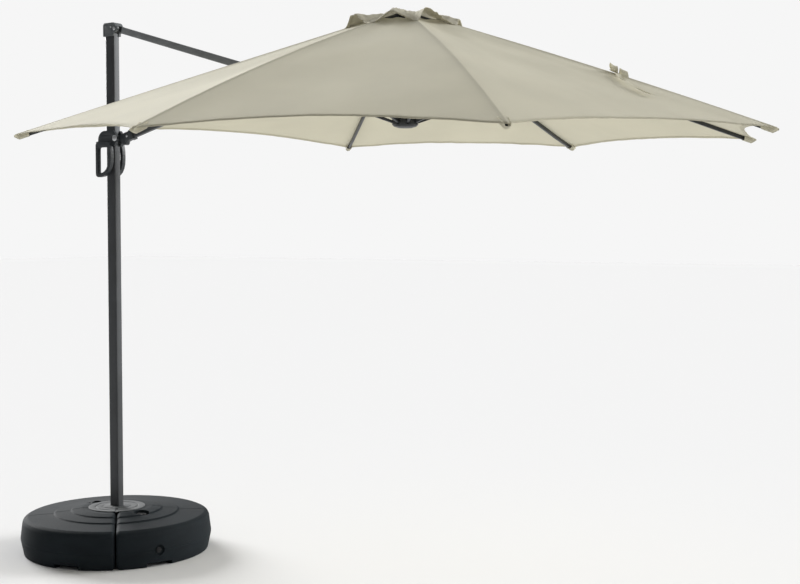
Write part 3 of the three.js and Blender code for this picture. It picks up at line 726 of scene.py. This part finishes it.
def slider_tools():
    """Shallow moulded fields in the slider's cheeks."""
    tools = []
    for side in (-1, 1):
        low, high = sorted((side * 0.0292, side * 0.034))
        tools.append(tool_box((-0.064, -0.010), (low, high), (2.122, 2.128)))
        tools.append(tool_box((-0.050, 0.012), (low, high), (2.166, 2.172)))
    return tools


def add_slider():
    refined("slider_housing", "grey_plastic", 0.0026, 3, slider_tools())
    refined("slider_pin", "steel", 0.0014, 3)
    refined("handle_left", "grey_plastic", 0.0042, 4, grip_tools(1))
    refined("handle_right", "grey_plastic", 0.0042, 4, grip_tools(-1))
    refined("release_lever", "black_plastic", 0.0016, 3)


# ------------------------------------------------------------------ hub, runner, ribs and struts
def add_spider():
    for node in ("top_hub", "runner"):
        refined(node, "black_plastic", 0.0012, 2)
    for node in ("hub_pin_ring", "runner_pin_ring"):
        refined(node, "steel", 0.0003, 1)
    for index in range(RIBS):
        if index != ARM_INDEX:
            refined(f"rib_{index + 1}", "anthracite", 0.0018, 2)
        refined(f"strut_{index + 1}", "anthracite", 0.0014, 2)


# ------------------------------------------------------------------ canopy
SAG = 0.014
CLOTH_ROWS = 90
HEM_DEPTH = 0.024
SLOT_HALF = 0.032
SLOT_INNER = HUB_X - 1.1185
SLOT_OUTER = HUB_X - 0.8845


def rib_body(index):
    return "arm" if index % RIBS == ARM_INDEX else f"rib_{index % RIBS + 1}"


def rib_height(index, radius):
    """The middle height of a rib, or of the arm's line in place of the eighth rib."""
    index %= RIBS
    if index == ARM_INDEX:
        return HUB_PIVOT_Z - ARM_SLOPE * (radius - PIVOT_RADIUS)
    outer = max(0.0, (radius - LEAN_START) / (CANOPY_RADIUS - LEAN_START))
    saddle = SADDLE_SWING * math.cos(2 * index * EIGHTH - SADDLE_PHASE) + SADDLE_LIFT
    droop = LEAN_SWING * math.cos(index * EIGHTH + LEAN_PHASE) - saddle
    return HUB_PIVOT_Z - RIB_SLOPE * (radius - PIVOT_RADIUS) - droop * outer * outer


def over_rib(index, radius):
    return polar(radius, index * EIGHTH, rib_height(index, radius) + FABRIC_ABOVE_RIB)


def between_ribs(sector, share, radius):
    """A point between rib number sector, at share 0, and the next one, at share 1."""
    return over_rib(sector, radius).lerp(over_rib(sector + 1, radius), share) + Vector((HUB_X, 0, 0))


def wrinkle(sector, share, reach):
    """The cloth's slack: fans of small folds from the corners, and broad dents between the seams."""
    from_seam = min(share, 1 - share)
    tied = min(1.0, from_seam * 14)
    seed = sector % RIBS * 7.3
    spread = math.exp(-from_seam * 7) * (0.25 + 0.75 * reach)
    fan = noise.noise(Vector((share * 13, reach * 1.7, seed))) * spread
    broad = noise.noise(Vector((share * 3.1, reach * 3.7, seed + 50))) * math.sin(math.pi * share)
    ripple = noise.noise(Vector((share * 26, reach * 5, seed + 90))) * reach ** 4
    return tied * (0.0055 * fan + 0.0065 * broad + 0.0018 * ripple)


def cloth_point(sector, share, reach):
    """A point of the canopy's cloth, reach running from 0 at the vent to 1 at the hem."""
    bow = 4 * share * (1 - share)
    radius = VENT_HOLE_RADIUS + reach * (CANOPY_RADIUS - HEM_CUT * bow - VENT_HOLE_RADIUS)
    point = between_ribs(sector, share, radius)
    point.z += wrinkle(sector, share, reach) - SAG * bow * math.sin(math.pi * min(1.0, 0.08 + reach * 0.9))
    return point


def kite_point(index, span, reach):
    """A point of the cloth by its span, from -0.5 to 0.5 across the kite about rib number index."""
    if span < 0:
        return cloth_point(index - 1, 1 + span, reach)
    return cloth_point(index, span, reach)


def seam_lift(index, span, reach):
    """The felled seam over the rib stands a little proud, as a flat band with soft edges."""
    radius = VENT_HOLE_RADIUS + reach * (CANOPY_RADIUS - VENT_HOLE_RADIUS)
    aside = abs(span) * radius * math.sin(EIGHTH)
    return 0.0016 / (1 + (aside / 0.0075) ** 6)


def sheet_rows(index, spans_at, rows=CLOTH_ROWS):
    """A grid of cloth points, and under its hem the turned-in edge."""
    grid = []
    for r in range(rows + 1):
        reach = r / rows
        line = []
        for span in spans_at(reach):
            point = kite_point(index, span, reach)
            point.z += seam_lift(index, span, reach)
            line.append(point)
        grid.append(line)
    for back, below in ((0.0, 0.0022), (0.4, 0.0034), (1.0, 0.0026)):
        reach = 1 - back * HEM_DEPTH / CANOPY_RADIUS
        grid.append([kite_point(index, span, reach) - Vector((0, 0, below)) for span in spans_at(1.0)])
    return grid


def seam_spans(even_steps, reach):
    """Spans across a kite: even ones, and a fixed band of closer ones on each side of the seam."""
    radius = VENT_HOLE_RADIUS + reach * (CANOPY_RADIUS - VENT_HOLE_RADIUS)
    band = [0.004, 0.0075, 0.011, 0.020]
    near = [b / (radius * math.sin(EIGHTH)) for b in band]
    outer = list(np.linspace(near[-1], 0.5, even_steps + 1))[1:]
    right = near + outer
    return [-s for s in reversed(right)] + [0.0] + right


def cloth_object(name, grid, look="fabric", keep_face=None):
    rows = len(grid)
    columns = len(grid[0])
    faces = grid_faces(rows, columns)
    points = [p for line in grid for p in line]
    if keep_face:
        faces = [f for f in faces if keep_face(sum((points[i] for i in f), Vector()) / 4)]
    return mesh_object(name, points, faces, look)


def gather(obj):
    """Gives the cloth its own copy of its mesh."""
    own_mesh(obj)


def add_kite(index):
    obj = cloth_object(f"canopy_cloth_{index + 1}",
                       sheet_rows(index, lambda reach: seam_spans(20, reach)))
    join_into(obj, corner_pocket(index))
    fit(obj, rib_body(index), "fabric", f"canopy_panel_{index + 1}")
    gather(obj)


def join_into(obj, other):
    """Adds another mesh to an object's own."""
    work = bmesh.new()
    work.from_mesh(obj.data)
    work.from_mesh(other.data)
    work.to_mesh(obj.data)
    work.free()
    bpy.data.objects.remove(other)


def corner_pocket(index, depth=0.0250):
    """The doubled patch that holds a rib's tip: it wraps round the tip under the seam's end."""
    length = 0.062
    steps = 12
    around = 16
    grid = []
    for r in range(steps + 1):
        radius = CANOPY_RADIUS + 0.004 - length + length * r / steps
        half_wide = 0.011 + 0.007 * (1 - r / steps)
        deep = depth * min(1.0, 1 - 0.17 * (r - steps + 4))
        line = []
        for a in range(around + 1):
            turn = math.pi * a / around
            aside = half_wide * math.cos(turn)
            down = deep * math.sin(turn) ** 0.35
            crease = 0.0012 * math.sin(a * 2.4 + r * 0.9)
            top = rib_height(index, radius) + FABRIC_ABOVE_RIB - 0.0005
            place = polar(radius, index * EIGHTH) + polar(aside, index * EIGHTH + math.pi / 2)
            line.append(Vector((place.x + HUB_X, place.y, top - down + crease)))
        grid.append(line)
    return cloth_object("pocket", grid)


def over_rod(point):
    return SLOT_INNER < HUB_X - point.x < SLOT_OUTER and abs(point.y) < SLOT_HALF


def add_arm_panel():
    """The panel over the arm: a strip over its fittings, and a half each side."""
    def limit(reach):
        radius = VENT_HOLE_RADIUS + reach * (CANOPY_RADIUS - VENT_HOLE_RADIUS)
        return min(0.45, SLOT_HALF / (radius * math.sin(EIGHTH)))

    strip = cloth_object(
        "arm_strip",
        sheet_rows(ARM_INDEX, lambda reach: [limit(reach) * k / 6 for k in range(-6, 7)], CLOTH_ROWS * 2),
        keep_face=lambda middle: not over_rod(middle),
    )
    join_into(strip, corner_pocket(ARM_INDEX, 0.012))
    fit(strip, "arm", "fabric", f"canopy_panel_{ARM_INDEX + 1}")
    for side, label in ((1, "near"), (-1, "far")):
        def spans(reach, side=side):
            line = [side * s for s in np.linspace(limit(reach), 0.5, 22)]
            return line if side > 0 else line[::-1]
        half = cloth_object(f"arm_panel_{label}", sheet_rows(ARM_INDEX, spans))
        fit(half, "arm", "fabric", f"canopy_panel_{ARM_INDEX + 1}")
        gather(half)


# ------------------------------------------------------------------ vent cap
VENT_RADIUS = 0.271
VENT_CROWN = 0.050
VENT_LIFT = 0.0035
# For each sector between ribs: the slack hump's height, the raised edge's height, and where it peaks.
VENT_FLAPS = (
    (0.012, 0.040, 0.60), (0.014, 0.034, 0.40), (0.012, 0.040, 0.50), (0.014, 0.034, 0.60),
    (0.010, 0.042, 0.35), (0.004, 0.054, 0.22), (0.020, 0.044, 0.45), (0.004, 0.060, 0.20),
)


def flap_crumple(sector, share, reach):
    """The vent's loose cloth lies in soft, uneven folds with sharp creases between them."""
    seed = sector % RIBS * 3.7 + 20
    fold = noise.noise(Vector((share * 4.5, reach * 3.2, seed)))
    crease = abs(noise.noise(Vector((share * 8, reach * 6, seed + 9))))
    small = noise.noise(Vector((share * 22, reach * 12, seed + 30)))
    free = min(1.0, min(share, 1 - share) * 7) * min(1.0, reach * 2.2)
    return free * (0.008 * fold - 0.012 * crease + 0.003 * small)


def vent_point(sector, share, reach):
    """The cap rises from the crown into a slack hump and comes back down to its free edge."""
    hump, edge, peak = VENT_FLAPS[sector % RIBS]
    bow = math.sin(math.pi * share) ** 0.7
    lean = share / peak if share < peak else (1 - share) / (1 - peak)
    raised = lean * lean * (3 - 2 * lean)
    radius = reach * (VENT_RADIUS - 0.010 * bow)
    point = between_ribs(sector, share, radius)
    crown = HUB_PIVOT_Z - RIB_SLOPE * (VENT_CROWN - PIVOT_RADIUS) + FABRIC_ABOVE_RIB
    point.z = min(point.z, crown + 0.002)
    swell = math.sin(math.pi * min(1.0, reach ** 1.7)) * hump * bow
    point.z += VENT_LIFT + swell + edge * raised * reach ** 2.4 + flap_crumple(sector, share, reach)
    return point


def add_vent_cap():
    for index in range(RIBS):
        grid = []
        for r in range(49):
            reach = r / 48
            line = []
            for span in np.linspace(-0.5, 0.5, 49):
                sector, share = (index - 1, 1 + span) if span < 0 else (index, span)
                line.append(vent_point(sector, share, reach))
            grid.append(line)
        under = []
        for point in grid[-1]:
            inwards = Vector((HUB_X, 0, 0)) - point
            inwards.z = 0
            under.append(point + inwards.normalized() * 0.014 - Vector((0, 0, 0.0035)))
        grid.append([p - Vector((0, 0, 0.0028)) for p in grid[-1]])
        grid.append(under)
        # The flaps' cloth is painted darker, for the shade under them.
        obj = cloth_object(f"vent_flap_{index + 1}", grid, "shade_darkened_fabric")
        fit(obj, rib_body(index), "shade_darkened_fabric", "vent_cap")
        gather(obj)


# ------------------------------------------------------------------ tie strap
STRAP_WIDE = 0.028
STRAP_AT = 1.0
STRAP_TURN = math.radians(38)
STRAP_BEND = 1.1
STRAP_BEND_FROM = 0.12


def strap_path():
    """Places along the strap and heights over the cloth: a tall loop, then the tail down the panel."""
    shape = [
        (0.020, 0.006), (-0.004, 0.006), (-0.018, 0.012), (-0.021, 0.024), (-0.009, 0.033), (0.006, 0.030),
        (0.012, 0.018), (0.000, 0.010), (-0.030, 0.008), (-0.075, 0.012), (-0.130, 0.007), (-0.190, 0.012),
        (-0.260, 0.006), (-0.330, 0.009),
    ]
    return [Vector(p) for p in shape]


def smooth_path(points, steps):
    """A Catmull-Rom curve through the points."""
    padded = [points[0] * 2 - points[1]] + points + [points[-1] * 2 - points[-2]]
    result = []
    for i in range(len(points) - 1):
        a, b, c, d = padded[i:i + 4]
        for s in range(steps):
            t = s / steps
            result.append(0.5 * (2 * b + (c - a) * t + (2 * a - 5 * b + 4 * c - d) * t * t
                                 + (3 * b - a - 3 * c + d) * t ** 3))
    result.append(points[-1])
    return result


def cloth_height(point):
    """The height of the taut cloth under a point given from the canopy's middle."""
    turn = math.atan2(point.y, point.x) / EIGHTH
    sector = math.floor(turn)
    radius = Vector((point.x, point.y)).length
    share = turn - sector
    bent = math.cos(EIGHTH / 2) / math.cos((share - 0.5) * EIGHTH)
    return between_ribs(sector, share, radius / bent).z


def strap_ribbon(name, path, at, curl):
    """A band of strap that follows a path over the cloth, its edges curling up by the curl's height."""
    grid = []
    seat = over_rib(0, at)
    for number, spot in enumerate(path):
        bend = STRAP_TURN + max(0.0, -spot.x - STRAP_BEND_FROM) * STRAP_BEND
        tail = polar(1, -math.pi / 2 + bend)
        across = polar(1, bend)
        middle = seat - tail * spot.x
        line = []
        for k in range(9):
            side = k / 8 * 2 - 1
            point = middle + across * side * STRAP_WIDE / 2
            point.z = cloth_height(point) + spot.y
            point.z += curl * side * side + 0.0012 * math.sin(number * 0.4 + side * 2) - 0.0026 * side
            line.append(point + Vector((HUB_X, 0, 0)))
        grid.append(line)
    return cloth_object(name, grid)


def add_strap():
    """The tie strap on the first seam: a loop with its tail, and a second, lower loop beside it."""
    obj = strap_ribbon("tie_band", smooth_path(strap_path(), 6), STRAP_AT, 0.003)
    second = [Vector(p) for p in ((0.024, 0.003), (0.020, 0.016), (0.006, 0.026), (-0.012, 0.022),
                                  (-0.024, 0.010), (-0.028, 0.003))]
    join_into(obj, strap_ribbon("second", smooth_path(second, 6), STRAP_AT + 0.045, 0.0))
    fit(obj, "rib_1", "fabric", "tie_strap")
    gather(obj)


def add_canopy():
    for index in range(RIBS):
        if index != ARM_INDEX:
            add_kite(index)
    add_arm_panel()
    add_vent_cap()
    add_strap()


# ------------------------------------------------------------------ stage
CAMERA_AT = (5.065, -4.865, 1.668)
CAMERA_HEADING = (-0.5577, 0.830)
CAMERA_DIP = 0.046
CAMERA_LENS = 59.13
BACK = Vector((*CAMERA_HEADING, 0)).normalized()
RIGHT = Vector((BACK.y, -BACK.x, 0))
PAPER = 0.922
SKY_FLOOR = 0.08
SKY_LIGHT = ((UP, 0.33), (BACK, 0.22), (RIGHT, 0.30))
FLOOR_WHITE = 0.75
FLOOR_REACH = 60


def add_camera():
    camera = bpy.data.cameras.new("camera")
    camera.lens = CAMERA_LENS
    camera.sensor_width = 36
    obj = bpy.data.objects.new("camera", camera)
    bpy.context.collection.objects.link(obj)
    direction = BACK * math.cos(CAMERA_DIP) - UP * math.sin(CAMERA_DIP)
    obj.location = CAMERA_AT
    obj.rotation_euler = direction.to_track_quat("-Z", "Y").to_euler()
    bpy.context.scene.camera = obj


def add_sun(name, energy, azimuth, elevation, spread):
    """A soft sun that shines from an azimuth about the object and an elevation, all in degrees."""
    light = bpy.data.lights.new(name, "SUN")
    light.energy = energy
    light.angle = math.radians(spread)
    obj = bpy.data.objects.new(name, light)
    bpy.context.collection.objects.link(obj)
    level = math.cos(math.radians(elevation))
    toward = polar(level, math.radians(azimuth), math.sin(math.radians(elevation)))
    obj.rotation_euler = toward.to_track_quat("Z", "Y").to_euler()


def add_sky():
    """An even paper-white backdrop. Its light comes mostly from above and behind, little from the front."""
    world = bpy.data.worlds.new("studio")
    bpy.context.scene.world = world
    world.use_nodes = True
    nodes = world.node_tree.nodes
    links = world.node_tree.links
    place = nodes.new("ShaderNodeTexCoord")
    total = None
    for toward, strength in SKY_LIGHT:
        dot = nodes.new("ShaderNodeVectorMath")
        dot.operation = "DOT_PRODUCT"
        dot.inputs[1].default_value = toward
        links.new(place.outputs["Generated"], dot.inputs[0])
        share = nodes.new("ShaderNodeMath")
        share.operation = "MAXIMUM"
        share.inputs[1].default_value = 0.0
        links.new(dot.outputs["Value"], share.inputs[0])
        part = nodes.new("ShaderNodeMath")
        part.operation = "MULTIPLY_ADD"
        part.inputs[1].default_value = strength
        part.inputs[2].default_value = SKY_FLOOR if total is None else 0.0
        links.new(share.outputs["Value"], part.inputs[0])
        if total is not None:
            links.new(total, part.inputs[2])
        total = part.outputs["Value"]
    light = nodes["Background"]
    links.new(total, light.inputs["Strength"])
    light.inputs["Color"].default_value = (1, 1, 1, 1)
    paper = nodes.new("ShaderNodeBackground")
    paper.inputs["Color"].default_value = (1, 1, 1, 1)
    paper.inputs["Strength"].default_value = PAPER
    path = nodes.new("ShaderNodeLightPath")
    mix = nodes.new("ShaderNodeMixShader")
    links.new(path.outputs["Is Camera Ray"], mix.inputs["Fac"])
    links.new(light.outputs["Background"], mix.inputs[1])
    links.new(paper.outputs["Background"], mix.inputs[2])
    links.new(mix.outputs["Shader"], nodes["World Output"].inputs["Surface"])


def add_floor():
    mesh = bpy.data.meshes.new("floor")
    far = FLOOR_REACH
    mesh.from_pydata([(-far, -far, 0), (far, -far, 0), (far, far, 0), (-far, far, 0)], [], [(0, 1, 2, 3)])
    floor = bpy.data.objects.new("floor", mesh)
    bpy.context.collection.objects.link(floor)
    material, _, _, shader = node_material("floor_paint", (FLOOR_WHITE,) * 3, 0.9)
    shader.inputs["Specular IOR Level"].default_value = 0.0
    mesh.materials.append(material)


def add_stage():
    bpy.context.scene.view_settings.view_transform = "Standard"
    add_sky()
    add_floor()
    add_sun("key", 4.9, 163, 20, 34)
    add_sun("fill", 2.7, 52, 18, 34)


add_camera()
add_base()
add_mast()
add_rod_and_arm()
add_slider()
add_spider()
add_canopy()
add_stage()
